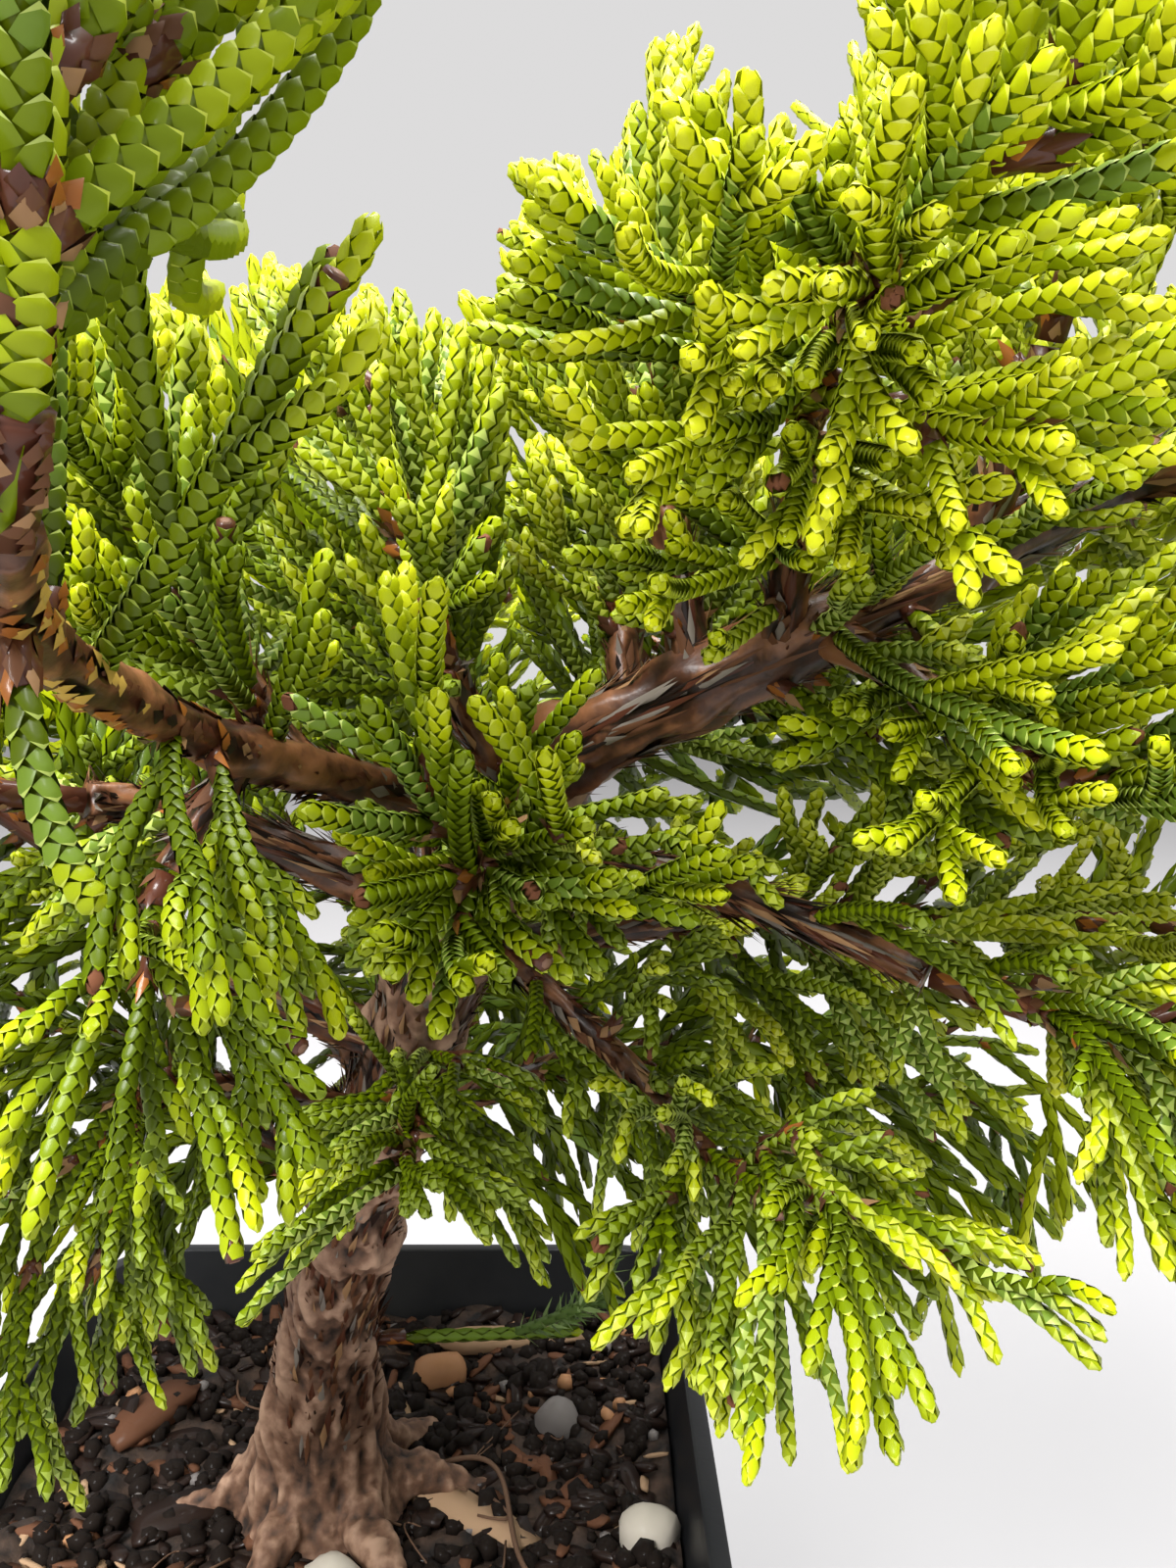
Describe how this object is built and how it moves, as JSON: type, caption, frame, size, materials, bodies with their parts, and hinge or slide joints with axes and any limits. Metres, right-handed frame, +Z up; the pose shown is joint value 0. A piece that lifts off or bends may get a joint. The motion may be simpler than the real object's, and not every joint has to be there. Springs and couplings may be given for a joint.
{
  "type": "potted juniper",
  "caption": "Small juniper with scale foliage and a leaning, flared trunk in a square tapered nursery pot, grown as a young bonsai plant.",
  "frame": {"origin": "centre of the pot's flat underside", "axes": "+Z up, +X to the right and +Y away from the crown's open front, square to the pot's sides"},
  "size_m": [0.1847, 0.1647, 0.2128],
  "materials": {
    "pot": "thin black nursery plastic, slightly shiny",
    "soil": "damp dark potting soil with bark chips and small stones",
    "trunk_bark": "reddish brown gnarled bark",
    "bough_bark": "brown bark peeling in thin strips",
    "foliage": "bright green scale leaves with pale margins, lightly glossy"
  },
  "bodies": {
    "root": {"pot": "pot", "soil": "soil", "trunk": "trunk_bark", "bough_main": "bough_bark", "bough_top_centre": "bough_bark", "bough_top_front": "bough_bark", "bough_right_fan": "bough_bark", "bough_right_top": "bough_bark", "bough_crown": "bough_bark", "bough_right_front": "bough_bark", "bough_right_back": "bough_bark", "bough_lower_right": "bough_bark", "bough_right_low": "bough_bark", "bough_lower_front": "bough_bark", "bough_left_front": "bough_bark", "bough_left_rising": "bough_bark", "bough_left_hanging": "bough_bark", "bough_centre_left": "bough_bark", "bough_rear_left": "bough_bark", "bough_middle": "bough_bark", "bough_left_low": "bough_bark", "bough_left_outer": "bough_bark", "bough_left_far": "bough_bark", "bough_left_back": "bough_bark", "bough_back": "bough_bark", "bough_back_right": "bough_bark", "bough_back_low": "bough_bark", "bough_left_under": "bough_bark", "bough_right_under": "bough_bark", "foliage_right_end": "foliage", "foliage_top_centre": "foliage", "foliage_top_front": "foliage", "foliage_right_fan": "foliage", "foliage_right_top": "foliage", "foliage_crown": "foliage", "foliage_right_front": "foliage", "foliage_right_back": "foliage", "foliage_lower_right": "foliage", "foliage_right_low": "foliage", "foliage_lower_front": "foliage", "foliage_left_front": "foliage", "foliage_left_rising": "foliage", "foliage_left_hanging": "foliage", "foliage_centre_left": "foliage", "foliage_rear_left": "foliage", "foliage_middle": "foliage", "foliage_left_low": "foliage", "foliage_left_outer": "foliage", "foliage_left_far": "foliage", "foliage_left_back": "foliage", "foliage_back": "foliage", "foliage_back_right": "foliage", "foliage_back_low": "foliage", "foliage_left_under": "foliage", "foliage_right_under": "foliage", "foliage_front_small": "foliage", "foliage_centre_low": "foliage", "foliage_foot_spray": "foliage"}
  },
  "joints": []
}
